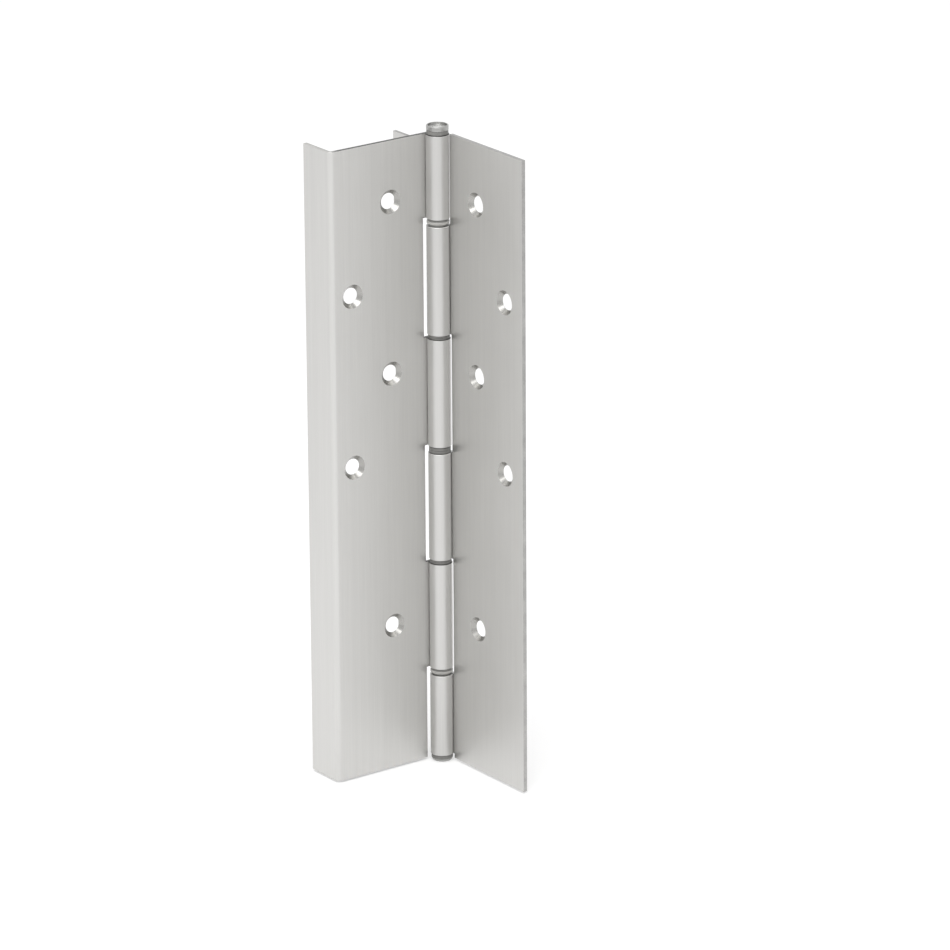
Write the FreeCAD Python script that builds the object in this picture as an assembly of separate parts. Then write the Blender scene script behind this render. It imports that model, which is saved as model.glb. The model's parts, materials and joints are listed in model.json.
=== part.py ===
import FreeCAD, Part
import math
import os

from FreeCAD import Vector

# Continuous (piano) hinge with pin and barrel, standing upright and opened to a right angle.
# Everything is first built about the hinge line: the pin's centre line is the Z axis, the
# leaves' lower edges are at Z = 0, the door leaf runs along -X and the frame leaf along -Y.
# The pieces are then moved so that the origin is the centre of the frame leaf's back face.
# Across a leaf, "reach" is the distance from the hinge line along the leaf.

# Sheet, pin and barrel
SHEET = 1.9
PIN_RADIUS = 3.175
BORE_CLEARANCE = 0.025
BORE_RADIUS = PIN_RADIUS + BORE_CLEARANCE
BARREL_RADIUS = BORE_RADIUS + SHEET

# Leaves
LEAF_HEIGHT = 282.4
DOOR_LEAF_REACH = 53.5
FRAME_LEAF_REACH = 55.0
DOOR_NOTCH_REACH = 5.5
FRAME_NOTCH_REACH = 4.65
FRAME_TOP_NOTCH_REACH = 4.15
CURL_END_ANGLE = 38.6
CURL_END_ROUNDING = 0.2
EDGE_CHAMFER = 0.25

# Flanges that wrap the door's edge
FLANGE_DEPTH = 19.05
BEND_INNER_RADIUS = 0.4
INNER_FLANGE_SHEET = 1.6
INNER_FLANGE_SETBACK = 2.5
WELD_LEG = 1.2
WELD_LENGTH = 14.0

# Knuckles: five joints between them, the load-bearing ones (door over frame) wider
TOP_KNUCKLE = 38.6
BOTTOM_KNUCKLE_RISE = 2.0
KNUCKLE_PITCH = 50.8
JOINT_COUNT = 5
LOADED_JOINT_GAP = 3.0
FREE_JOINT_GAP = 1.7
KNUCKLE_CHAMFER = 0.35

# Nylon bearings, two in each joint; in the end joints they have a rim where they meet
RIMMED_JOINTS = (0, 4)
PLAIN_BEARING_RADIUS = 4.7
BEARING_WAIST_RADIUS = 3.9
BEARING_RIM_RADIUS = 4.9
BEARING_RIM_THICKNESS = 0.4
BEARING_BORE_RADIUS = 3.225
BEARING_PLAY = 0.1
BEARING_CHAMFER = 0.15

# Collars pressed on the pin's ends, each with a nylon washer between it and the end knuckle
END_PLAY = 0.1
WASHER_RADIUS = 4.7
TOP_WASHER_THICKNESS = 1.6
BOTTOM_WASHER_THICKNESS = 1.7
COLLAR_INTERFERENCE = 0.01
TOP_COLLAR_RADIUS = 4.8
TOP_COLLAR_TOP = 3.9
TOP_COLLAR_RECESS = 1.0
TOP_COLLAR_RECESS_RADIUS = 4.1
BOTTOM_COLLAR_RADIUS = 4.5
BOTTOM_COLLAR_DEPTH = 0.9
BOTTOM_COLLAR_ROUNDING = 0.8
PIN_BOTTOM_RECESS = 0.4
PIN_END_CHAMFER = 0.3
COLLAR_CHAMFER = 0.3

# Countersunk screw holes: rows count down from the top, staggered in two columns
SCREW_HOLE_RADIUS = 3.5
SCREW_LAND = 0.1
COUNTERSINK_HALF_ANGLE = 45.0
FIRST_SCREW_DROP = 26.8
SCREW_PITCH = 38.1
INNER_COLUMN = 22.5
OUTER_COLUMN = 42.5
INNER_COLUMN_ROWS = (0, 2, 5)
OUTER_COLUMN_ROWS = (1, 3)

# Cutters reach this far past the faces that they open
OVERCUT = 1.0

UP = Vector(0, 0, 1)
HINGE_LINE = Vector(0, 0, 0)
ORIGIN = Vector(BARREL_RADIUS, -FRAME_LEAF_REACH / 2, LEAF_HEIGHT / 2)


def polar(radius, degrees):
    angle = math.radians(degrees)
    return Vector(radius * math.cos(angle), radius * math.sin(angle), 0)


def arc(radius, start, end, centre=HINGE_LINE):
    first = centre + polar(radius, start)
    middle = centre + polar(radius, (start + end) / 2)
    last = centre + polar(radius, end)
    return Part.Arc(first, middle, last).toShape()


def line(first, last):
    return Part.LineSegment(first, last).toShape()


def chain(points):
    return [line(first, last) for first, last in zip(points, points[1:])]


def prism(edges, bottom, top):
    """Extrude a closed outline in the XY plane between two heights."""
    face = Part.Face(Part.Wire(Part.__sortEdges__(edges)))
    solid = face.extrude(UP * (top - bottom))
    solid.translate(UP * bottom)
    return solid


def turned(profile, sweep=360.0, start=0.0):
    """Revolve a closed (radius, height) outline about the hinge line."""
    points = [Vector(radius, 0, height) for radius, height in profile]
    face = Part.Face(Part.makePolygon(points + points[:1]))
    solid = face.revolve(HINGE_LINE, UP, sweep)
    solid.rotate(HINGE_LINE, UP, start)
    return solid


def box(low, high):
    size = high - low
    return Part.makeBox(size.x, size.y, size.z, low)


def on_frame_side(shape):
    """Mirror a shape built for the door leaf into the frame leaf's place."""
    return shape.mirror(HINGE_LINE, Vector(1, -1, 0))


# ---- Knuckle layout -------------------------------------------------------------------------

def joint_height(index):
    return LEAF_HEIGHT - TOP_KNUCKLE - index * KNUCKLE_PITCH


def joint_gap(index):
    return LOADED_JOINT_GAP if index % 2 == 0 else FREE_JOINT_GAP


def knuckle_spans():
    """(bottom, top) of each knuckle from the top one down; the even ones are the door leaf's."""
    tops = [LEAF_HEIGHT]
    bottoms = []
    for index in range(JOINT_COUNT):
        bottoms.append(joint_height(index) + joint_gap(index) / 2)
        tops.append(joint_height(index) - joint_gap(index) / 2)
    bottoms.append(BOTTOM_KNUCKLE_RISE)
    return list(zip(bottoms, tops))


DOOR_KNUCKLES = knuckle_spans()[0::2]
FRAME_KNUCKLES = knuckle_spans()[1::2]


def notch_spans(knuckles):
    """Heights where a leaf is cut back, which is everywhere between its own knuckles."""
    edges = [LEAF_HEIGHT + OVERCUT]
    for bottom, top in knuckles:
        edges += [top, bottom]
    edges.append(-OVERCUT)
    pairs = list(zip(edges[1::2], edges[0::2]))
    return [(low, high) for low, high in pairs if high - low > 2 * OVERCUT]


# ---- Leaves, drawn as the door leaf: along -X, front face towards -Y, back towards +Y --------

def curl_edges():
    """Sheet that leaves the leaf's plane, passes behind the pin and comes round to the front."""
    end = -180.0 - CURL_END_ANGLE
    shoulder = end + math.degrees(CURL_END_ROUNDING / BARREL_RADIUS)
    turn = (shoulder + end) / 2
    outer = polar(BARREL_RADIUS, shoulder)
    halfway = polar(BARREL_RADIUS - CURL_END_ROUNDING * (1 - math.sqrt(0.5)), turn)
    inner = polar(BARREL_RADIUS - CURL_END_ROUNDING, end)
    return [
        arc(BARREL_RADIUS, 90.0, shoulder),
        Part.Arc(outer, halfway, inner).toShape(),
        line(inner, polar(BORE_RADIUS, end)),
        arc(BORE_RADIUS, end, 90.0),
    ]


def plain_leaf_edges():
    front = BORE_RADIUS
    back = BARREL_RADIUS
    outline = [
        Vector(0, front, 0),
        Vector(-FRAME_LEAF_REACH, front, 0),
        Vector(-FRAME_LEAF_REACH, back, 0),
        Vector(0, back, 0),
    ]
    return curl_edges() + chain(outline)


def flanged_leaf_edges():
    """Leaf with a flange bent back at its far end."""
    front = BORE_RADIUS
    back = BARREL_RADIUS
    outside = -DOOR_LEAF_REACH
    inside = outside + SHEET
    tip = front + FLANGE_DEPTH
    bend_outer_radius = BEND_INNER_RADIUS + SHEET
    bend = Vector(outside + bend_outer_radius, front + bend_outer_radius, 0)
    return curl_edges() + [
        line(Vector(0, front, 0), Vector(bend.x, front, 0)),
        arc(bend_outer_radius, 270.0, 180.0, bend),
        line(Vector(outside, bend.y, 0), Vector(outside, tip, 0)),
        line(Vector(outside, tip, 0), Vector(inside, tip, 0)),
        line(Vector(inside, tip, 0), Vector(inside, bend.y, 0)),
        arc(BEND_INNER_RADIUS, 180.0, 270.0, bend),
        line(Vector(bend.x, back, 0), Vector(0, back, 0)),
    ]


def notch(reach, bottom, top):
    """Room for the other leaf's knuckle: the sheet is cut back, and the whole curl is gone."""
    low = Vector(-reach, -BARREL_RADIUS - OVERCUT, bottom)
    high = Vector(BARREL_RADIUS + OVERCUT, BARREL_RADIUS + OVERCUT, top)
    radius = math.hypot(reach, BORE_RADIUS)
    return box(low, high).fuse(Part.makeCylinder(radius, top - bottom, UP * bottom))


def knuckle_end_chamfer(height, inward):
    """Ring that takes the sharp outer edge off a knuckle's end; inward is +1 at a lower end."""
    outer = BARREL_RADIUS + OVERCUT
    run = KNUCKLE_CHAMFER + OVERCUT
    profile = [
        (BARREL_RADIUS - KNUCKLE_CHAMFER, height),
        (outer, height + inward * run),
        (outer, height),
    ]
    sweep = 270.0 + CURL_END_ANGLE
    return turned(profile, sweep, 90.0 - sweep)


def screw_places():
    """(reach, height) of each screw hole."""
    columns = ((INNER_COLUMN, INNER_COLUMN_ROWS), (OUTER_COLUMN, OUTER_COLUMN_ROWS))
    top_row = LEAF_HEIGHT - FIRST_SCREW_DROP
    return [(reach, top_row - row * SCREW_PITCH) for reach, rows in columns for row in rows]


def screw_hole(reach, height):
    """Through hole with a short straight land at the back and a countersink to the front."""
    start = Vector(-reach, BARREL_RADIUS, height)
    through = Part.makeCylinder(SCREW_HOLE_RADIUS, SHEET + 2 * OVERCUT,
                                start + Vector(0, OVERCUT, 0), Vector(0, -1, 0))
    depth = SHEET - SCREW_LAND + OVERCUT
    mouth = SCREW_HOLE_RADIUS + depth * math.tan(math.radians(COUNTERSINK_HALF_ANGLE))
    cone = Part.makeCone(SCREW_HOLE_RADIUS, mouth, depth,
                         start - Vector(0, SCREW_LAND, 0), Vector(0, -1, 0))
    return through.fuse(cone)


def chamfer_upright_edges(solid, reach, depth):
    """Chamfer the two upright edges at a free end that is centred at (reach, depth)."""
    def at_end(edge):
        centre = edge.BoundBox.Center
        near = abs(centre.x + reach) <= SHEET and abs(centre.y - depth) <= SHEET
        return near and edge.BoundBox.ZLength > LEAF_HEIGHT / 2
    edges = [edge for edge in solid.Edges if at_end(edge)]
    return solid.makeChamfer(EDGE_CHAMFER, edges)


def cut_leaf(blank, knuckles, notch_reaches):
    """Cut the notches (their reaches are given from the top one down) and the screw holes."""
    spans = notch_spans(knuckles)
    cutters = [notch(reach, *span) for reach, span in zip(notch_reaches, spans)]
    for bottom, top in knuckles:
        cutters.append(knuckle_end_chamfer(bottom, 1))
        cutters.append(knuckle_end_chamfer(top, -1))
    cutters += [screw_hole(reach, height) for reach, height in screw_places()]
    return blank.cut(cutters).Solids[0]


def door_leaf():
    blank = prism(flanged_leaf_edges(), 0.0, LEAF_HEIGHT)
    tip = BORE_RADIUS + FLANGE_DEPTH
    blank = chamfer_upright_edges(blank, DOOR_LEAF_REACH - SHEET / 2, tip)
    return cut_leaf(blank, DOOR_KNUCKLES, [DOOR_NOTCH_REACH] * len(FRAME_KNUCKLES))


def frame_leaf():
    blank = prism(plain_leaf_edges(), 0.0, LEAF_HEIGHT)
    middle = BARREL_RADIUS - SHEET / 2
    blank = chamfer_upright_edges(blank, FRAME_LEAF_REACH, middle)
    reaches = [FRAME_TOP_NOTCH_REACH] + [FRAME_NOTCH_REACH] * len(DOOR_KNUCKLES)
    return on_frame_side(cut_leaf(blank, FRAME_KNUCKLES, reaches))


# ---- Inner flange, welded to the door leaf's back beside the barrel ---------------------------

def weld_bead(height):
    """Stitch of fillet weld on the barrel side of the inner flange's foot."""
    foot = Vector(-DOOR_NOTCH_REACH, BARREL_RADIUS, 0)
    outline = [
        foot,
        foot + Vector(WELD_LEG, 0, 0),
        foot + Vector(0, WELD_LEG, 0),
        foot,
    ]
    return prism(chain(outline), height - WELD_LENGTH / 2, height + WELD_LENGTH / 2)


def inner_flange():
    tip = BORE_RADIUS + FLANGE_DEPTH
    outside = -DOOR_NOTCH_REACH - INNER_FLANGE_SHEET
    low = Vector(outside, BARREL_RADIUS, INNER_FLANGE_SETBACK)
    high = Vector(-DOOR_NOTCH_REACH, tip, LEAF_HEIGHT - INNER_FLANGE_SETBACK)
    middle = DOOR_NOTCH_REACH + INNER_FLANGE_SHEET / 2
    strip = chamfer_upright_edges(box(low, high), middle, tip)
    beads = []
    for bottom, top in DOOR_KNUCKLES:
        third = (top - bottom) / 3
        beads.append(weld_bead(bottom + third))
        beads.append(weld_bead(top - third))
    return strip.fuse(beads).removeSplitter().Solids[0]


# ---- Pin, collars and bearings ---------------------------------------------------------------

def hinge_pin():
    bottom = PIN_BOTTOM_RECESS - BOTTOM_COLLAR_DEPTH
    top = LEAF_HEIGHT + TOP_COLLAR_TOP - TOP_COLLAR_RECESS
    waist = PIN_RADIUS - PIN_END_CHAMFER
    return turned([
        (0, bottom),
        (waist, bottom),
        (PIN_RADIUS, bottom + PIN_END_CHAMFER),
        (PIN_RADIUS, top - PIN_END_CHAMFER),
        (waist, top),
        (0, top),
    ])


def top_collar():
    """Collar at the pin's upper end; the pin ends in the recess in its top."""
    bore = PIN_RADIUS - COLLAR_INTERFERENCE
    bottom = LEAF_HEIGHT + END_PLAY + TOP_WASHER_THICKNESS
    top = LEAF_HEIGHT + TOP_COLLAR_TOP
    floor = top - TOP_COLLAR_RECESS
    edge = TOP_COLLAR_RADIUS - COLLAR_CHAMFER
    return turned([
        (bore, bottom),
        (edge, bottom),
        (TOP_COLLAR_RADIUS, bottom + COLLAR_CHAMFER),
        (TOP_COLLAR_RADIUS, top - COLLAR_CHAMFER),
        (edge, top),
        (TOP_COLLAR_RECESS_RADIUS, top),
        (TOP_COLLAR_RECESS_RADIUS, floor),
        (bore, floor),
    ])


def bottom_collar():
    """Collar at the pin's lower end, with a well rounded lower edge."""
    bore = PIN_RADIUS - COLLAR_INTERFERENCE
    bottom = -BOTTOM_COLLAR_DEPTH
    top = BOTTOM_KNUCKLE_RISE - END_PLAY - BOTTOM_WASHER_THICKNESS
    turn = BOTTOM_COLLAR_RADIUS - BOTTOM_COLLAR_ROUNDING
    shoulder = bottom + BOTTOM_COLLAR_ROUNDING
    halfway = BOTTOM_COLLAR_ROUNDING * math.sqrt(0.5)
    outline = chain([
        Vector(turn, 0, bottom),
        Vector(bore, 0, bottom),
        Vector(bore, 0, top),
        Vector(BOTTOM_COLLAR_RADIUS, 0, top),
        Vector(BOTTOM_COLLAR_RADIUS, 0, shoulder),
    ])
    middle = Vector(turn + halfway, 0, shoulder - halfway)
    rounding = Part.Arc(outline[-1].Vertexes[1].Point, middle, outline[0].Vertexes[0].Point)
    face = Part.Face(Part.Wire(Part.__sortEdges__(outline + [rounding.toShape()])))
    return face.revolve(HINGE_LINE, UP, 360.0)


def washer(bottom, thickness):
    top = bottom + thickness
    edge = WASHER_RADIUS - BEARING_CHAMFER
    return turned([
        (BEARING_BORE_RADIUS, bottom),
        (edge, bottom),
        (WASHER_RADIUS, bottom + BEARING_CHAMFER),
        (WASHER_RADIUS, top - BEARING_CHAMFER),
        (edge, top),
        (BEARING_BORE_RADIUS, top),
    ])


def top_washer():
    return washer(LEAF_HEIGHT + END_PLAY, TOP_WASHER_THICKNESS)


def bottom_washer():
    top = BOTTOM_KNUCKLE_RISE - END_PLAY
    return washer(top - BOTTOM_WASHER_THICKNESS, BOTTOM_WASHER_THICKNESS)


def plain_bearing(seat, meeting):
    """Washer between its knuckle (seat) and the joint's other bearing (meeting)."""
    inward = math.copysign(BEARING_CHAMFER, seat - meeting)
    edge = PLAIN_BEARING_RADIUS - BEARING_CHAMFER
    return turned([
        (BEARING_BORE_RADIUS, seat),
        (PLAIN_BEARING_RADIUS, seat),
        (PLAIN_BEARING_RADIUS, meeting + inward),
        (edge, meeting),
        (BEARING_BORE_RADIUS, meeting),
    ])


def rimmed_bearing(seat, meeting):
    """Narrower washer with a wide rim at the meeting face."""
    toward_seat = math.copysign(1.0, seat - meeting)
    rim = meeting + toward_seat * BEARING_RIM_THICKNESS
    inward = toward_seat * BEARING_CHAMFER
    edge = BEARING_RIM_RADIUS - BEARING_CHAMFER
    return turned([
        (BEARING_BORE_RADIUS, seat),
        (BEARING_WAIST_RADIUS, seat),
        (BEARING_WAIST_RADIUS, rim),
        (edge, rim),
        (BEARING_RIM_RADIUS, rim - inward),
        (BEARING_RIM_RADIUS, meeting),
        (BEARING_BORE_RADIUS, meeting),
    ])


def bearing_nodes():
    """Two bearings in each joint, one seated on each leaf's knuckle."""
    nodes = {}
    for index in range(JOINT_COUNT):
        middle = joint_height(index)
        half_gap = joint_gap(index) / 2
        half_play = BEARING_PLAY / 2
        upper_leaf, lower_leaf = ("door", "frame") if index % 2 == 0 else ("frame", "door")
        make = rimmed_bearing if index in RIMMED_JOINTS else plain_bearing
        number = index + 1
        nodes[f"{upper_leaf}_bearing_{number}"] = make(middle + half_gap, middle + half_play)
        nodes[f"{lower_leaf}_bearing_{number}"] = make(middle - half_gap, middle - half_play)
    return nodes


def main():
    nodes = {
        "door_leaf": door_leaf(),
        "door_inner_flange": inner_flange(),
        "frame_leaf": frame_leaf(),
        "hinge_pin": hinge_pin(),
        "top_washer": top_washer(),
        "top_collar": top_collar(),
        "bottom_washer": bottom_washer(),
        "bottom_collar": bottom_collar(),
    }
    nodes.update(bearing_nodes())
    os.makedirs("parts", exist_ok=True)
    for name, shape in nodes.items():
        shape.translate(-ORIGIN)
        shape.exportStep(f"parts/{name}.step")
        limits = shape.BoundBox
        print(name, shape.ShapeType, shape.isValid(), round(shape.Volume, 1),
              [round(value, 2) for value in (limits.XMin, limits.YMin, limits.ZMin,
                                             limits.XMax, limits.YMax, limits.ZMax)])


main()
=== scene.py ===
import json
import math

import bmesh
import bpy
from mathutils import Matrix, Vector


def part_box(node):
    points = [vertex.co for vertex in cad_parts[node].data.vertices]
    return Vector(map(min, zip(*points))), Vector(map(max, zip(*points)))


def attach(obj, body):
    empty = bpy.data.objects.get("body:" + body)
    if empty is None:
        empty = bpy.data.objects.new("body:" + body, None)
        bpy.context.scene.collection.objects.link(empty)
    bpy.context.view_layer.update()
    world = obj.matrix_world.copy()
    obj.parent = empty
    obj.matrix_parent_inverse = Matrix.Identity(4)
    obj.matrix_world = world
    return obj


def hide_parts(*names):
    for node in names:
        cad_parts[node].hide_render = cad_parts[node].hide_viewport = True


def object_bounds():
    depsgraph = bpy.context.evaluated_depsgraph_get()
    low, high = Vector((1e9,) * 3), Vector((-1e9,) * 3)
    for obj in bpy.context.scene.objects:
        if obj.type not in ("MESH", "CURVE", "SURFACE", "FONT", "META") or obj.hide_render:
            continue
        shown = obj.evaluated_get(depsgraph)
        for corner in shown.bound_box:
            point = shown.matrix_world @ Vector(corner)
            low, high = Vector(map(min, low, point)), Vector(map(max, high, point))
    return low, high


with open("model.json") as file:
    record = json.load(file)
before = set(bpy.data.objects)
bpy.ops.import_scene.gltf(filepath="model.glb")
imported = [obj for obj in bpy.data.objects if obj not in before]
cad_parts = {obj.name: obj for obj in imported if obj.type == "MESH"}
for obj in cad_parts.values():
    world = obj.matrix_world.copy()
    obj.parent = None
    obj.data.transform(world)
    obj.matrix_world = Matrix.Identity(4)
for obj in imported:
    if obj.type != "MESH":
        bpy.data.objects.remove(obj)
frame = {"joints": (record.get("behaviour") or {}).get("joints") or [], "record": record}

CAD_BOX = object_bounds()
MM = 0.001

# ---- Sizes ------------------------------------------------------------------------------------
# Across a leaf, "reach" is the distance from the hinge line along the leaf, and "depth" is the
# distance from the hinge line towards the leaf's back. Heights are the row frame's own.

HINGE = Vector(frame["joints"][0]["pos_m"])
DOOR_LOW, DOOR_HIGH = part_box("door_leaf")
FRAME_LOW, FRAME_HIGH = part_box("frame_leaf")
STRIP_LOW, STRIP_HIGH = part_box("door_inner_flange")

SHEET = 1.9 * MM
BARREL_RADIUS = FRAME_HIGH.x - HINGE.x
BORE_RADIUS = BARREL_RADIUS - SHEET
LEAF_BOTTOM = DOOR_LOW.z
LEAF_TOP = DOOR_HIGH.z
DOOR_REACH = HINGE.x - DOOR_LOW.x
FRAME_REACH = HINGE.y - FRAME_LOW.y
FLANGE_TIP = DOOR_HIGH.y - HINGE.y
BEND_INNER_RADIUS = 0.4 * MM
BEND_OUTER_RADIUS = BEND_INNER_RADIUS + SHEET
DOOR_NOTCH = 5.5 * MM
FRAME_NOTCH = 4.65 * MM
FRAME_TOP_NOTCH = 4.15 * MM
CURL_END_ANGLE = math.radians(38.6)
STRIP_SHEET = HINGE.x - DOOR_NOTCH - STRIP_LOW.x

SCREW_LAND = 0.1 * MM
COUNTERSINK_HALF_ANGLE = math.radians(45)
HOLE_PATCH = 7.5 * MM
HOLE_SEGMENTS = 64

WELD_LEG = 1.2 * MM
WELD_LENGTH = 14 * MM
WELD_RIPPLE = 0.9 * MM
WELD_SUNK = 0.1 * MM
WELD_STEPS_ALONG = 84
WELD_STEPS_AROUND = 8
STRIP_STEPS = 140
HEAT_REACH = 1.6 * MM
HEATED_SHARE = 0.15

RING_BORE_RADIUS = 3.225 * MM
RING_CORNER = 0.12 * MM
RIM_THICKNESS = 0.4 * MM
RIM_RADIUS_FROM = 4.8 * MM
WAIST_RADIUS = 3.9 * MM
WASHER_CORNER = 0.15 * MM
PIN_END_ROUNDING = 0.35 * MM
COLLAR_RECESS_RADIUS = 4.1 * MM
COLLAR_RECESS = 1.0 * MM
COLLAR_RIM_ROUNDING = 0.35 * MM
COLLAR_RECESS_ROUNDING = 0.1 * MM
COLLAR_FOOT_ROUNDING = 0.8 * MM
COLLAR_HEAD_ROUNDING = 0.15 * MM
TURN_SEGMENTS = 96
ARC_STEPS = 5

SHEET_EDGE_ROUNDING = 0.15 * MM
KNUCKLE_EDGE_ROUNDING = 0.38 * MM
CURL_END_ROUNDING = 0.2 * MM
BORE_EDGE_ROUNDING = 0.08 * MM
HOLE_EDGE_ROUNDING = 0.04 * MM
SHARP_ANGLE = math.radians(25)
ROUNDING_SEGMENTS = 3
BEND_STEPS = 10
TINY = 1e-7

JOINT_COUNT = 5
END_PLAY = 0.1 * MM


def knuckle_spans():
    """(bottom, top) of each knuckle from the top one down; the even ones are the door leaf's."""
    tops = [LEAF_TOP]
    bottoms = []
    for number in range(1, JOINT_COUNT + 1):
        boxes = [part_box(f"{leaf}_bearing_{number}") for leaf in ("door", "frame")]
        bottoms.append(max(high.z for low, high in boxes))
        tops.append(min(low.z for low, high in boxes))
    bottoms.append(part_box("bottom_washer")[1].z + END_PLAY)
    return list(zip(bottoms, tops))


KNUCKLES = knuckle_spans()
DOOR_KNUCKLES = KNUCKLES[0::2]
FRAME_KNUCKLES = KNUCKLES[1::2]


def screw_places(leaf):
    """(reach, height, radius) of each screw hole of a leaf, from the record's bolt patterns."""
    places = set()
    for mount in frame["record"]["mounts"]:
        if mount["kind"] != "bolt_pattern" or not mount["name"].startswith(leaf):
            continue
        x, y, height = mount["pos_m"]
        reach = HINGE.x - x if leaf == "door" else HINGE.y - y
        half = mount["dims"]["spacing_y_mm"] * MM / 2
        radius = mount["dims"]["hole_r_mm"] * MM
        for z in (height - half, height + half):
            places.add((round(reach, 6), round(z, 6), radius))
    return sorted(places)


def door_notch_at(height):
    """Reach of the door leaf's notches, the same at every height."""
    return DOOR_NOTCH


def frame_notch_at(height):
    """Reach of the frame leaf's notches; the one above its first knuckle fits more closely."""
    return FRAME_TOP_NOTCH if height > FRAME_KNUCKLES[0][1] else FRAME_NOTCH


def on_door(reach, depth, height):
    return Vector((HINGE.x - reach, HINGE.y + depth, height))


def on_frame(reach, depth, height):
    return Vector((HINGE.x + depth, HINGE.y - reach, height))


# ---- Mesh helpers -----------------------------------------------------------------------------

def steps(count):
    """Even shares from 0 to 1, both included."""
    return [index / count for index in range(count + 1)]


def merged(values):
    """Sorted values without near repeats."""
    kept = []
    for value in sorted(values):
        if not kept or value - kept[-1] > TINY:
            kept.append(value)
    return kept


def soften(piece):
    """Round the marked edges and keep the flat faces looking flat."""
    bevel = piece.modifiers.new("edges", "BEVEL")
    bevel.limit_method = "WEIGHT"
    bevel.width = KNUCKLE_EDGE_ROUNDING
    bevel.segments = ROUNDING_SEGMENTS
    bevel.use_clamp_overlap = False
    normals = piece.modifiers.new("normals", "WEIGHTED_NORMAL")
    normals.keep_sharp = False


def mark_edges(bm, rounding_of):
    """Weight every sharp edge by the rounding that rounding_of(edge) gives."""
    layer = bm.edges.layers.float.new("bevel_weight_edge")
    for edge in bm.edges:
        if len(edge.link_faces) == 2 and edge.calc_face_angle() > SHARP_ANGLE:
            edge[layer] = rounding_of(edge) / KNUCKLE_EDGE_ROUNDING


def make_piece(name, bm, body, materials, nodes=()):
    bmesh.ops.recalc_face_normals(bm, faces=bm.faces)
    for face in bm.faces:
        face.smooth = True
    mesh = bpy.data.meshes.new(name)
    bm.to_mesh(mesh)
    bm.free()
    for material in materials:
        mesh.materials.append(material)
    piece = bpy.data.objects.new(name, mesh)
    bpy.context.scene.collection.objects.link(piece)
    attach(piece, body)
    if nodes:
        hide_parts(*nodes)
    return piece


# ---- Leaves -----------------------------------------------------------------------------------

FACE_STEEL, EDGE_STEEL, TURNED_STEEL, ROLLED_STEEL = range(4)
BACK, FRONT = range(2)
CURL_STEP = math.radians(5)
FIRST_CURL_STEP = math.radians(9)


def curl_stations():
    """(back, front) points round the curl, from its free end to where the flat sheet starts."""
    start = -math.pi - CURL_END_ANGLE
    finish = math.pi / 2
    count = round((finish - start - FIRST_CURL_STEP) / CURL_STEP)
    first = start + FIRST_CURL_STEP
    angles = [start] + [first + (finish - first) * share for share in steps(count)]
    return [[(-radius * math.cos(angle), radius * math.sin(angle))
             for radius in (BARREL_RADIUS, BORE_RADIUS)] for angle in angles]


def flat_stations(reaches):
    return [[(reach, BARREL_RADIUS), (reach, BORE_RADIUS)] for reach in reaches]


def bend_stations():
    """Bend at the door leaf's far end and the flange beyond it."""
    start = DOOR_REACH - BEND_OUTER_RADIUS
    depth = BORE_RADIUS + BEND_OUTER_RADIUS
    stations = []
    for share in steps(BEND_STEPS):
        turn = share * math.pi / 2
        stations.append([(start + radius * math.sin(turn), depth - radius * math.cos(turn))
                         for radius in (BEND_INNER_RADIUS, BEND_OUTER_RADIUS)])
    stations.append([(DOOR_REACH - SHEET, FLANGE_TIP), (DOOR_REACH, FLANGE_TIP)])
    return stations


def patch_lines(centre):
    return [centre - HOLE_PATCH, centre, centre + HOLE_PATCH]


def fill_round_hole(bm, border, circle, angle_of):
    """Flat faces between a closed border and a circle inside it, both in the same turning sense."""
    count = len(circle)
    places = [round(angle_of(vert) / math.tau * count) % count for vert in border]
    for index, vert in enumerate(border):
        following = (index + 1) % len(border)
        start = places[index]
        span = (places[following] - start) % count
        arc = [circle[(start + step) % count] for step in range(span, -1, -1)]
        bm.faces.new([vert, border[following]] + arc)


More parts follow.
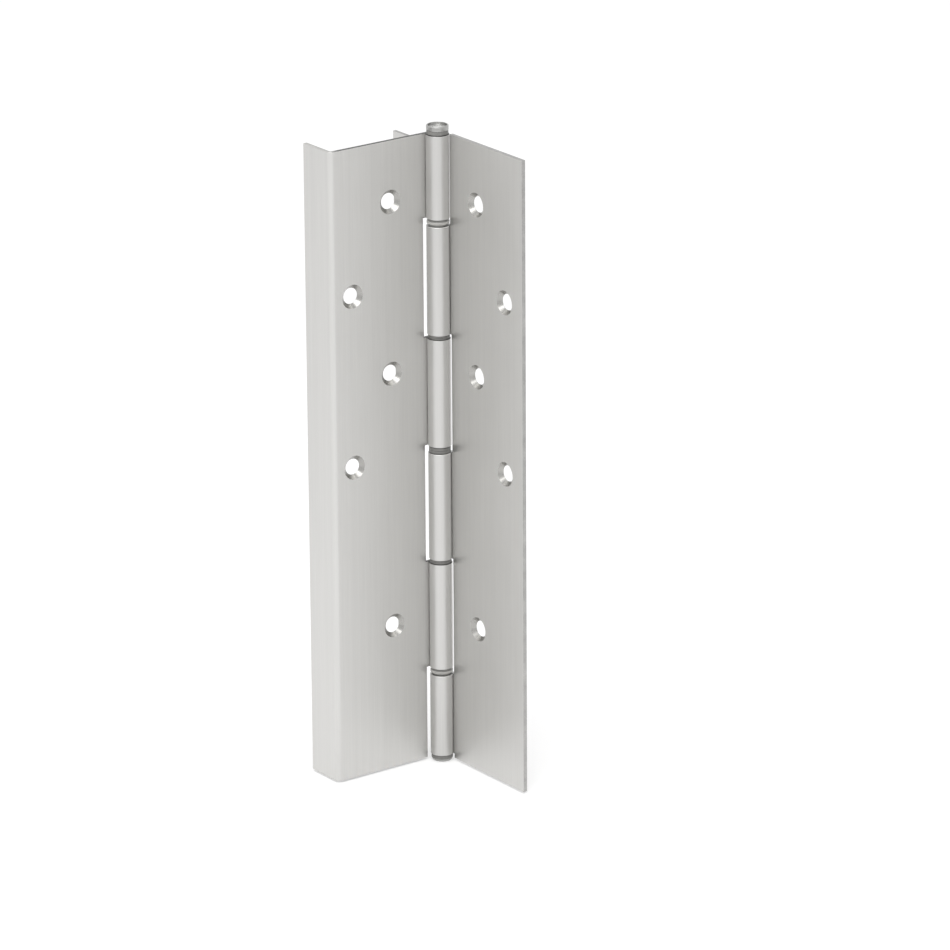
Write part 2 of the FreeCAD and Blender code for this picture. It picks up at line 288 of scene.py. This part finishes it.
def leaf_mesh(place, stations, heights, notch_at, knuckles, screws):
    """Closed mesh of folded sheet: stations across it, heights up it, notches and screw holes."""
    bm = bmesh.new()
    turned = bm.verts.layers.float.new("turned")
    grid = {}

    def vert(side, i, j):
        if (side, i, j) not in grid:
            grid[side, i, j] = bm.verts.new(place(*stations[i][side], heights[j]))
        return grid[side, i, j]

    reaches = [station[BACK][0] for station in stations]
    curl_count = len(curl_stations())
    filled = set()
    for i in range(len(stations) - 1):
        for j in range(len(heights) - 1):
            middle = (heights[j] + heights[j + 1]) / 2
            on_knuckle = any(bottom < middle < top for bottom, top in knuckles)
            beyond_notch = i >= curl_count - 1 and reaches[i + 1] > notch_at(middle) + TINY
            if on_knuckle or beyond_notch:
                filled.add((i, j))

    holed = set()
    for reach, height, radius in screws:
        inside_i = [i for i in range(curl_count, len(stations))
                    if abs(reaches[i] - reach) < HOLE_PATCH + TINY
                    and abs(stations[i][BACK][1] - BARREL_RADIUS) < TINY]
        inside_j = [j for j in range(len(heights)) if abs(heights[j] - height) < HOLE_PATCH + TINY]
        left, right = inside_i[0], inside_i[-1]
        low, high = inside_j[0], inside_j[-1]
        holed |= {(i, j) for i in range(left, right) for j in range(low, high)}
        ring = [(i, low) for i in range(left, right)]
        ring += [(right, j) for j in range(low, high)]
        ring += [(i, high) for i in range(right, left, -1)]
        ring += [(left, j) for j in range(high, low, -1)]

        mouth = radius + (SHEET - SCREW_LAND) * math.tan(COUNTERSINK_HALF_ANGLE)
        circles = []
        levels = ((radius, BARREL_RADIUS), (radius, BARREL_RADIUS - SCREW_LAND),
                  (mouth, BORE_RADIUS))
        for circle_radius, depth in levels:
            circle = []
            for step in range(HOLE_SEGMENTS):
                turn = step / HOLE_SEGMENTS * math.tau
                across = reach + circle_radius * math.cos(turn)
                up = height + circle_radius * math.sin(turn)
                circle.append(bm.verts.new(place(across, depth, up)))
                circle[-1][turned] = circle_radius / MM
            circles.append(circle)
        for inner, outer in zip(circles, circles[1:]):
            for step in range(HOLE_SEGMENTS):
                after = (step + 1) % HOLE_SEGMENTS
                face = bm.faces.new((inner[step], inner[after], outer[after], outer[step]))
                face.material_index = TURNED_STEEL

        centre = place(reach, 0, height)
        across_axis = place(reach + 1, 0, height) - centre

        def angle_of(corner):
            offset = corner.co - centre
            return math.atan2(offset.z, offset.dot(across_axis))

        for side, circle in ((BACK, circles[0]), (FRONT, circles[-1])):
            fill_round_hole(bm, [vert(side, i, j) for i, j in ring], circle, angle_of)

    for i, j in filled - holed:
        for side in (BACK, FRONT):
            face = bm.faces.new([vert(side, *corner)
                                 for corner in ((i, j), (i + 1, j), (i + 1, j + 1), (i, j + 1))])
            face.material_index = ROLLED_STEEL if i < curl_count - 1 else FACE_STEEL
    for i, j in sorted(filled):
        neighbours = {(i - 1, j): ((i, j), (i, j + 1)), (i + 1, j): ((i + 1, j), (i + 1, j + 1)),
                      (i, j - 1): ((i, j), (i + 1, j)), (i, j + 1): ((i, j + 1), (i + 1, j + 1))}
        for cell, (first, last) in neighbours.items():
            if cell not in filled:
                face = bm.faces.new((vert(BACK, *first), vert(BACK, *last),
                                     vert(FRONT, *last), vert(FRONT, *first)))
                face.material_index = EDGE_STEEL
    return bm


def leaf_heights(screws):
    ends = [LEAF_BOTTOM, LEAF_TOP] + [z for span in KNUCKLES for z in span]
    lines = [line for _, height, _ in screws for line in patch_lines(height)]
    return merged(ends + lines)


def leaf_rounding(edge):
    """Rounding of a leaf's sharp edge: more at the knuckles' outer rims, little in the bores."""
    if any(face.material_index == TURNED_STEEL for face in edge.link_faces):
        return HOLE_EDGE_ROUNDING
    first, last = (vert.co for vert in edge.verts)
    middle = (first + last) / 2
    from_hinge = math.hypot(middle.x - HINGE.x, middle.y - HINGE.y)
    if from_hinge < (BORE_RADIUS + BARREL_RADIUS) / 2:
        return BORE_EDGE_ROUNDING
    if from_hinge < BARREL_RADIUS + TINY:
        upright = abs(last.z - first.z) > SHEET
        return CURL_END_ROUNDING if upright else KNUCKLE_EDGE_ROUNDING
    return SHEET_EDGE_ROUNDING


def make_leaf(name, node, body, place, reach, notch_at, knuckles, bend, materials):
    screws = screw_places(body)
    notches = [notch_at(LEAF_TOP), notch_at(LEAF_BOTTOM)]
    lines = [line for across, _, _ in screws for line in patch_lines(across)]
    reaches = merged(lines + notches + [reach])
    stations = curl_stations() + flat_stations(reaches) + bend
    bm = leaf_mesh(place, stations, leaf_heights(screws), notch_at, knuckles, screws)
    bmesh.ops.recalc_face_normals(bm, faces=bm.faces)
    mark_edges(bm, leaf_rounding)
    piece = make_piece(name, bm, body, materials, [node])
    soften(piece)


# ---- Inner flange and its welds ---------------------------------------------------------------

def weld_heights():
    heights = []
    for bottom, top in DOOR_KNUCKLES:
        third = (top - bottom) / 3
        heights += [bottom + third, top - third]
    return heights


def make_strip(materials):
    """Flange strip that stands on the door leaf's back."""
    bm = bmesh.new()
    heat = bm.verts.layers.float.new("heat")
    near, far = DOOR_NOTCH, DOOR_NOTCH + STRIP_SHEET
    outline = [(near, BARREL_RADIUS)]
    heated_band = HEATED_SHARE * (FLANGE_TIP - BARREL_RADIUS)
    outline += [(near, BARREL_RADIUS + heated_band * share) for share in steps(3)[1:]]
    outline += [(near, FLANGE_TIP), (far, FLANGE_TIP), (far, BARREL_RADIUS)]
    welds = weld_heights()
    rings = []
    for share in steps(STRIP_STEPS):
        height = STRIP_LOW.z + share * (STRIP_HIGH.z - STRIP_LOW.z)
        ring = []
        for reach, depth in outline:
            ring.append(bm.verts.new(on_door(reach, depth, height)))
            up = min(max(0.0, abs(height - weld) - WELD_LENGTH / 2) for weld in welds)
            ring[-1][heat] = math.exp(-math.hypot(up, depth - BARREL_RADIUS) / HEAT_REACH)
        rings.append(ring)
    for lower, upper in zip(rings, rings[1:]):
        for index in range(len(outline)):
            after = (index + 1) % len(outline)
            bm.faces.new((lower[index], lower[after], upper[after], upper[index]))
    for ring in (rings[0], rings[-1]):
        face = bm.faces.new(ring)
        face.material_index = EDGE_STEEL
    bmesh.ops.recalc_face_normals(bm, faces=bm.faces)
    mark_edges(bm, lambda edge: SHEET_EDGE_ROUNDING)
    piece = make_piece("inner_flange_strip", bm, "door", materials,
                       ["door_inner_flange"])
    soften(piece)


def make_welds(material):
    """Stitches of rippled fillet weld on the strip's side towards the hinge line.

    Each is a quarter round in the corner between the strip and the leaf's back, with its centre
    sunk a little in both.
    """
    bm = bmesh.new()
    for centre in weld_heights():
        rings = []
        for share in steps(WELD_STEPS_ALONG):
            offset = (share - 0.5) * WELD_LENGTH
            taper = (1 - abs(2 * share - 1) ** 6) ** 0.5
            ring = [bm.verts.new(on_door(DOOR_NOTCH + WELD_SUNK, BARREL_RADIUS - WELD_SUNK,
                                         centre + offset))]
            for part in steps(WELD_STEPS_AROUND):
                turn = part * math.pi / 2
                lag = 0.35 * WELD_RIPPLE * math.cos(2 * turn - math.pi / 2)
                wave = math.cos((offset + lag) / WELD_RIPPLE * math.tau)
                swell = 0.9 + 0.1 * math.sin(2 * turn) + 0.05 * wave
                radius = WELD_SUNK + WELD_LEG * taper * swell
                ring.append(bm.verts.new(on_door(DOOR_NOTCH - radius * math.cos(turn),
                                                 BARREL_RADIUS + radius * math.sin(turn),
                                                 centre + offset)))
            rings.append(ring)
        for lower, upper in zip(rings, rings[1:]):
            for index in range(len(lower)):
                after = (index + 1) % len(lower)
                bm.faces.new((lower[index], lower[after], upper[after], upper[index]))
        bm.faces.new(rings[0])
        bm.faces.new(rings[-1])
    make_piece("inner_flange_welds", bm, "door", [material])


# ---- Turned pieces ----------------------------------------------------------------------------

def turned_mesh(profile):
    """Solid of revolution about the hinge line from a closed (radius, height) outline."""
    bm = bmesh.new()
    rings = []
    for radius, height in profile:
        if radius < TINY:
            rings.append([bm.verts.new(Vector((HINGE.x, HINGE.y, height)))] * TURN_SEGMENTS)
            continue
        ring = []
        for step in range(TURN_SEGMENTS):
            turn = step / TURN_SEGMENTS * math.tau
            ring.append(bm.verts.new(Vector((HINGE.x + radius * math.cos(turn),
                                             HINGE.y + radius * math.sin(turn), height))))
        rings.append(ring)
    for index, ring in enumerate(rings):
        other = rings[(index + 1) % len(rings)]
        for step in range(TURN_SEGMENTS):
            after = (step + 1) % TURN_SEGMENTS
            corners = list(dict.fromkeys((ring[step], ring[after], other[after], other[step])))
            if len(corners) > 2:
                bm.faces.new(corners)
    return bm


def rounded_outline(corners):
    """Outline with an arc in place of each (radius, height, rounding) corner."""
    outline = []
    for index, (radius, height, rounding) in enumerate(corners):
        here = Vector((radius, height))
        if rounding < TINY:
            outline.append(tuple(here))
            continue
        before = (Vector(corners[index - 1][:2]) - here).normalized()
        after = (Vector(corners[(index + 1) % len(corners)][:2]) - here).normalized()
        half = before.angle(after) / 2
        run = rounding / math.tan(half)
        centre = here + (before + after).normalized() * (rounding / math.sin(half))
        first = here + before * run - centre
        last = here + after * run - centre
        for share in steps(ARC_STEPS):
            spoke = first.lerp(last, share).normalized() * rounding
            outline.append(tuple(centre + spoke))
    return outline


def make_turned(name, node, body, corners, material):
    bm = turned_mesh(rounded_outline(corners))
    piece = make_piece(name, bm, body, [material], [node])
    normals = piece.modifiers.new("normals", "WEIGHTED_NORMAL")
    normals.keep_sharp = False


def node_radius(node):
    low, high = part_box(node)
    return (high.x - low.x) / 2


def make_pin(material):
    low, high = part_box("hinge_pin")
    radius = node_radius("hinge_pin")
    corners = [(0, low.z, 0), (radius, low.z, PIN_END_ROUNDING),
               (radius, high.z, PIN_END_ROUNDING), (0, high.z, 0)]
    make_turned("pin_rod", "hinge_pin", "frame", corners, material)


def make_collars(material):
    bore = node_radius("hinge_pin")
    rim = COLLAR_RIM_ROUNDING
    low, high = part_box("top_collar")
    radius = node_radius("top_collar")
    floor = high.z - COLLAR_RECESS
    corners = [
        (bore, low.z, 0), (radius, low.z, rim), (radius, high.z, rim),
        (COLLAR_RECESS_RADIUS, high.z, COLLAR_RECESS_ROUNDING),
        (COLLAR_RECESS_RADIUS, floor, COLLAR_RECESS_ROUNDING), (bore, floor, 0)]
    make_turned("collar_top", "top_collar", "frame", corners, material)
    low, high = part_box("bottom_collar")
    radius = node_radius("bottom_collar")
    corners = [
        (bore, low.z, COLLAR_RECESS_ROUNDING), (radius, low.z, COLLAR_FOOT_ROUNDING),
        (radius, high.z, COLLAR_HEAD_ROUNDING), (bore, high.z, 0)]
    make_turned("collar_bottom", "bottom_collar", "frame", corners, material)


def make_washers(material):
    """Thick washers between the collars and the end knuckles."""
    for end in ("top", "bottom"):
        node = f"{end}_washer"
        low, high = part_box(node)
        radius = node_radius(node)
        corners = [(RING_BORE_RADIUS, low.z, 0), (radius, low.z, WASHER_CORNER),
                   (radius, high.z, WASHER_CORNER), (RING_BORE_RADIUS, high.z, 0)]
        make_turned(f"washer_{end}", node, "frame", corners, material)


def make_bearings(plain, rimmed):
    """Two rings in each joint; the wider ones have a waist behind their rim."""
    for number in range(1, JOINT_COUNT + 1):
        for leaf, other in (("door", "frame"), ("frame", "door")):
            node = f"{leaf}_bearing_{number}"
            low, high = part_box(node)
            above = low.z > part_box(f"{other}_bearing_{number}")[0].z
            seat, meeting = (high.z, low.z) if above else (low.z, high.z)
            radius = node_radius(node)
            corners = [(RING_BORE_RADIUS, seat, 0), (radius, seat, 0)]
            material = plain
            if radius > RIM_RADIUS_FROM:
                rim = meeting + math.copysign(RIM_THICKNESS, seat - meeting)
                corners = [(RING_BORE_RADIUS, seat, 0), (WAIST_RADIUS, seat, 0),
                           (WAIST_RADIUS, rim, 0), (radius, rim, RING_CORNER)]
                material = rimmed
            corners += [(radius, meeting, RING_CORNER), (RING_BORE_RADIUS, meeting, 0)]
            make_turned(f"{leaf}_ring_{number}", node, leaf, corners, material)


# ---- Materials --------------------------------------------------------------------------------

class Nodes:
    """Short way to write a material's node tree."""

    def __init__(self, name):
        self.material = bpy.data.materials.new(name)
        self.material.use_nodes = True
        self.tree = self.material.node_tree
        self.shader = self.tree.nodes["Principled BSDF"]

    def set(self, node, inputs):
        for key, value in inputs.items():
            socket = node.inputs[key]
            if isinstance(value, bpy.types.NodeSocket):
                self.tree.links.new(value, socket)
            elif socket.type == "RGBA":
                socket.default_value = (*value, 1)
            else:
                socket.default_value = value

    def add(self, kind, inputs=(), **settings):
        node = self.tree.nodes.new(kind)
        for key, value in settings.items():
            setattr(node, key, value)
        self.set(node, dict(inputs))
        return node

    def noise(self, scale, stretch=(1, 1, 1), detail=3.0, roughness=0.5):
        """Noise in the piece's own coordinates; scale is in features per metre."""
        place = self.add("ShaderNodeTexCoord").outputs["Object"]
        moved = self.add("ShaderNodeMapping", {"Vector": place, "Scale": stretch}).outputs["Vector"]
        return self.add("ShaderNodeTexNoise", {
            "Vector": moved, "Scale": scale,
            "Detail": detail, "Roughness": roughness}).outputs["Fac"]

    def spread(self, value, low, high, from_low=0.3, from_high=0.7):
        return self.add("ShaderNodeMapRange", {
            "Value": value, "From Min": from_low, "From Max": from_high,
            "To Min": low, "To Max": high}).outputs["Result"]

    def maths(self, operation, first, second):
        return self.add("ShaderNodeMath", {0: first, 1: second}, operation=operation).outputs[0]

    def shaded(self, color, value):
        """The colour times a grey value."""
        return self.add("ShaderNodeVectorMath", {0: color, 3: value}, operation="SCALE").outputs[0]

    def mixed(self, factor, first, second):
        mix = self.add("ShaderNodeMix", data_type="RGBA")
        self.set(mix, {0: factor, 6: first, 7: second})
        return mix.outputs[2]

    def bump(self, height, distance):
        return self.add("ShaderNodeBump", {
            "Height": height, "Distance": distance, "Strength": 1.0}).outputs["Normal"]


UP_GRAIN = (1, 1, 0.012)
LONG_GRAIN = (1, 1, 0.004)
GRAIN_CONTRAST = 0.03
STRAW_TINT = (0.62, 0.47, 0.25)
BLUE_TINT = (0.18, 0.16, 0.24)
# Painted light on a cut edge: LIT_EDGE_GAIN times its colour where X is below a given mark, blended
# over LIT_EDGE_BLEND; NOT_LIT leaves an edge with no painted light.
LIT_EDGE_GAIN = 5.0
LIT_EDGE_BLEND = 2 * MM
NOT_LIT = -0.5


def brushed_steel(name, color, roughness, heated=False):
    """Satin stainless sheet whose fine grain runs up the leaf, with weld tint where heated."""
    nodes = Nodes(name)
    fine = nodes.noise(2600, UP_GRAIN, 4.0, 0.6)
    broad = nodes.noise(420, LONG_GRAIN, 3.0, 0.55)
    cloud = nodes.noise(26, (1, 1, 0.5), 3.0, 0.6)
    tone = nodes.maths(
        "MULTIPLY", nodes.spread(fine, 1 - GRAIN_CONTRAST, 1 + GRAIN_CONTRAST),
        nodes.spread(broad, 1 - 0.5 * GRAIN_CONTRAST, 1 + 0.5 * GRAIN_CONTRAST))
    tone = nodes.maths("MULTIPLY", tone, nodes.spread(cloud, 0.985, 1.015))
    base = color
    if heated:
        heat = nodes.add("ShaderNodeAttribute", attribute_name="heat").outputs["Fac"]
        straw = nodes.mixed(nodes.spread(heat, 0, 0.8, 0.02, 0.5), color, STRAW_TINT)
        base = nodes.mixed(nodes.spread(heat, 0, 0.8, 0.45, 1.0), straw, BLUE_TINT)
    rough = nodes.maths("ADD", nodes.spread(fine, -0.03, 0.03),
                        nodes.spread(cloud, roughness - 0.02, roughness + 0.03))
    height = nodes.maths("ADD", fine, broad)
    nodes.set(nodes.shader, {
        "Base Color": nodes.shaded(base, tone), "Metallic": 1.0, "Roughness": rough,
        "Normal": nodes.bump(height, 1.2e-6)})
    return nodes.material


def cut_steel(name, color, roughness, lit_below=NOT_LIT):
    """Sheared edge of the sheet: rougher and duller than its faces, with torn streaks.

    It has the given colour except where X is below lit_below, in metres, where painted light
    makes it lighter. NOT_LIT is beyond the hinge, so an edge with that has one colour all over.
    """
    nodes = Nodes(name)
    place = nodes.add("ShaderNodeTexCoord").outputs["Object"]
    across = nodes.add("ShaderNodeSeparateXYZ", {"Vector": place}).outputs["X"]
    # Painted light: the edge is lighter where X is below lit_below.
    lighter = nodes.spread(across, LIT_EDGE_GAIN, 1.0,
                           lit_below - LIT_EDGE_BLEND, lit_below + LIT_EDGE_BLEND)
    tear = nodes.noise(1500, (1, 1, 1), 4.0, 0.65)
    patch = nodes.noise(160, (1, 1, 1), 2.0, 0.5)
    tone = nodes.maths("MULTIPLY", nodes.spread(tear, 0.86, 1.12), nodes.spread(patch, 0.9, 1.1))
    tone = nodes.maths("MULTIPLY", tone, lighter)
    nodes.set(nodes.shader, {
        "Base Color": nodes.shaded(color, tone), "Metallic": 1.0,
        "Roughness": nodes.spread(tear, roughness - 0.06, roughness + 0.08),
        "Normal": nodes.bump(tear, 1.2e-5)})
    return nodes.material


def turned_steel(name, color, roughness, rings_per_mm=0.0):
    """Turned stainless, with tool rings round the screw holes where rings_per_mm is given."""
    nodes = Nodes(name)
    grime = nodes.noise(300, (1, 1, 1), 3.0, 0.6)
    tone = nodes.spread(grime, 0.94, 1.05)
    if rings_per_mm:
        radius = nodes.add("ShaderNodeAttribute", attribute_name="turned").outputs["Fac"]
        angle = nodes.maths("MULTIPLY", radius, rings_per_mm * math.tau)
        rings = nodes.maths("SINE", angle, 0.0)
        height = nodes.spread(rings, 0.0, 1.0, -1.0, 1.0)
        tone = nodes.maths("MULTIPLY", tone, nodes.spread(rings, 0.93, 1.07, -1.0, 1.0))
    else:
        height = nodes.noise(3200, (0.2, 0.2, 1), 3.0, 0.5)
    nodes.set(nodes.shader, {
        "Base Color": nodes.shaded(color, tone), "Metallic": 1.0,
        "Roughness": nodes.spread(grime, roughness - 0.03, roughness + 0.05),
        "Normal": nodes.bump(height, 2e-6)})
    return nodes.material


def weld_steel(name):
    nodes = Nodes(name)
    scale = nodes.noise(900, (1, 1, 1), 4.0, 0.6)
    tint = nodes.noise(260, (1, 1, 1.6), 2.0, 0.5)
    color = nodes.mixed(nodes.spread(tint, 0, 1, 0.4, 0.62), (0.5, 0.46, 0.4), (0.26, 0.23, 0.27))
    nodes.set(nodes.shader, {
        "Base Color": nodes.shaded(color, nodes.spread(scale, 0.85, 1.12)), "Metallic": 1.0,
        "Roughness": nodes.spread(scale, 0.3, 0.5), "Normal": nodes.bump(scale, 1.5e-5)})
    return nodes.material


def moulded_nylon(name, color):
    nodes = Nodes(name)
    cloud = nodes.noise(420, (1, 1, 1), 2.0, 0.5)
    speck = nodes.noise(2600, (1, 1, 1), 3.0, 0.6)
    nodes.set(nodes.shader, {
        "Base Color": nodes.shaded(color, nodes.spread(cloud, 0.88, 1.1)),
        "Roughness": nodes.spread(speck, 0.42, 0.56), "Specular IOR Level": 0.4,
        "Normal": nodes.bump(speck, 6e-6)})
    return nodes.material


# ---- Studio -----------------------------------------------------------------------------------

FLOOR_HALF_SIZE = 20
FLOOR_GLOW = 0.3
SOFTBOX_SIZE = 0.6
SOFTBOX_ENERGY = 3.4
SOFTBOX_PLACE = (-0.37, -0.26, 0.66)


def make_floor():
    """Pale floor that gives off a little light of its own, so that it stays white."""
    nodes = Nodes("studio_floor")
    cloud = nodes.noise(3, (1, 1, 1), 2.0, 0.5)
    nodes.set(nodes.shader, {
        "Base Color": nodes.shaded((0.7, 0.7, 0.7), nodes.spread(cloud, 0.995, 1.005)),
        "Roughness": 0.9, "Specular IOR Level": 0.1,
        "Emission Color": (1.0, 1.0, 1.0), "Emission Strength": FLOOR_GLOW})
    bm = bmesh.new()
    bmesh.ops.create_grid(bm, x_segments=1, y_segments=1, size=FLOOR_HALF_SIZE)
    mesh = bpy.data.meshes.new("floor")
    bm.to_mesh(mesh)
    bm.free()
    mesh.materials.append(nodes.material)
    floor = bpy.data.objects.new("floor", mesh)
    floor.location.z = CAD_BOX[0].z
    bpy.context.scene.collection.objects.link(floor)


def make_lights():
    world = bpy.data.worlds.new("studio")
    world.use_nodes = True
    sky = world.node_tree.nodes["Background"]
    sky.inputs["Color"].default_value = (1.0, 1.0, 1.0, 1)
    sky.inputs["Strength"].default_value = 1.0
    bpy.context.scene.world = world
    lamp = bpy.data.lights.new("softbox", "AREA")
    lamp.shape = "SQUARE"
    lamp.size = SOFTBOX_SIZE
    lamp.energy = SOFTBOX_ENERGY
    softbox = bpy.data.objects.new("softbox", lamp)
    softbox.location = SOFTBOX_PLACE
    aim = Vector((0, 0, CAD_BOX[0].z)) - softbox.location
    softbox.rotation_euler = aim.to_track_quat("-Z", "Y").to_euler()
    bpy.context.scene.collection.objects.link(softbox)


CAMERA_AZIMUTH = math.radians(-36.31)
CAMERA_ELEVATION = math.radians(19.07)
CAMERA_ROLL = math.radians(-0.35)
CAMERA_LENS_MM = 233.04
CAMERA_DISTANCE = 2.68543
AIM_RIGHT = 0.015
AIM_UP = 0.12275


def make_camera():
    """Long lens aimed at a point near the barrel's middle, placed from the hinge line's foot."""
    right = Vector((math.cos(CAMERA_AZIMUTH), math.sin(CAMERA_AZIMUTH), 0))
    away = Vector((-math.sin(CAMERA_AZIMUTH), math.cos(CAMERA_AZIMUTH), 0))
    forward = away * math.cos(CAMERA_ELEVATION) - Vector((0, 0, math.sin(CAMERA_ELEVATION)))
    up = right.cross(forward)
    foot = Vector((HINGE.x, HINGE.y, LEAF_BOTTOM))
    aim = foot + right * AIM_RIGHT + up * AIM_UP
    turn = Matrix.Rotation(CAMERA_ROLL, 4, "Z")
    data = bpy.data.cameras.new("camera")
    data.sensor_width = 36
    data.lens = CAMERA_LENS_MM
    data.clip_end = 100
    camera = bpy.data.objects.new("camera", data)
    camera.matrix_world = (Matrix.Translation(aim - forward * CAMERA_DISTANCE)
                           @ Matrix((right, up, -forward)).transposed().to_4x4() @ turn)
    bpy.context.scene.collection.objects.link(camera)
    bpy.context.scene.camera = camera
    bpy.context.scene.view_settings.view_transform = "Standard"


# ---- The hinge --------------------------------------------------------------------------------

def make_hinge():
    sheet_color = (0.62, 0.615, 0.601)
    sheet_roughness = 0.44
    face = brushed_steel("satin_sheet", sheet_color, sheet_roughness)
    # The knuckles' copy of the satin sheet is less rough, and its colour is darker than the flat
    # faces': painted shade on the barrel.
    rolled = brushed_steel("satin_sheet_rolled_painted_shade", (0.575, 0.57, 0.558), 0.36)
    heated = brushed_steel("satin_sheet_welded", sheet_color, sheet_roughness, heated=True)
    # The door leaf's cut edge is painted near-black shade, with painted light on its flange end;
    # the frame leaf's edge keeps a sheared edge's own duller colour.
    door_edge_painted_shade = cut_steel("door_sheet_edge_painted_shade", (0.11, 0.109, 0.105), 0.42, DOOR_LOW.x + 1.5 * SHEET)
    frame_edge = cut_steel("frame_sheet_edge", (0.4, 0.398, 0.39), 0.4)
    # The countersinks' colour is darker than the sheet's, painted shade in the screw holes'
    # recesses; their tool rings are real.
    sink = turned_steel("countersink_painted_shade", (0.38, 0.375, 0.36), 0.26, rings_per_mm=5)
    # The pin's colour is much brighter than the other turned steel: a painted highlight on its end.
    pin = turned_steel("turned_pin_painted_highlight", (0.86, 0.86, 0.85), 0.24)
    # The collars' colour is darker than the pin's turned steel: painted shade on their sides.
    collar = turned_steel("turned_collar_painted_shade", (0.4, 0.4, 0.39), 0.28)
    bend = bend_stations()
    make_leaf("door_leaf_sheet", "door_leaf", "door", on_door, bend[0][BACK][0], door_notch_at,
              DOOR_KNUCKLES, bend[1:], [face, door_edge_painted_shade, sink, rolled])
    make_leaf("frame_leaf_sheet", "frame_leaf", "frame", on_frame, FRAME_REACH, frame_notch_at,
              FRAME_KNUCKLES, [], [face, frame_edge, sink, rolled])
    make_strip([heated, frame_edge])
    make_welds(weld_steel("weld_metal"))
    make_pin(pin)
    make_collars(collar)
    # The plain joint rings and the end washers are near-black nylon: painted shade for the shade in
    # the joints' gaps.
    nylon_painted_shade = moulded_nylon("nylon_painted_shade", (0.17, 0.168, 0.16))
    make_washers(nylon_painted_shade)
    make_bearings(nylon_painted_shade, moulded_nylon("light_nylon", (0.44, 0.435, 0.415)))


make_floor()
make_lights()
make_camera()
make_hinge()
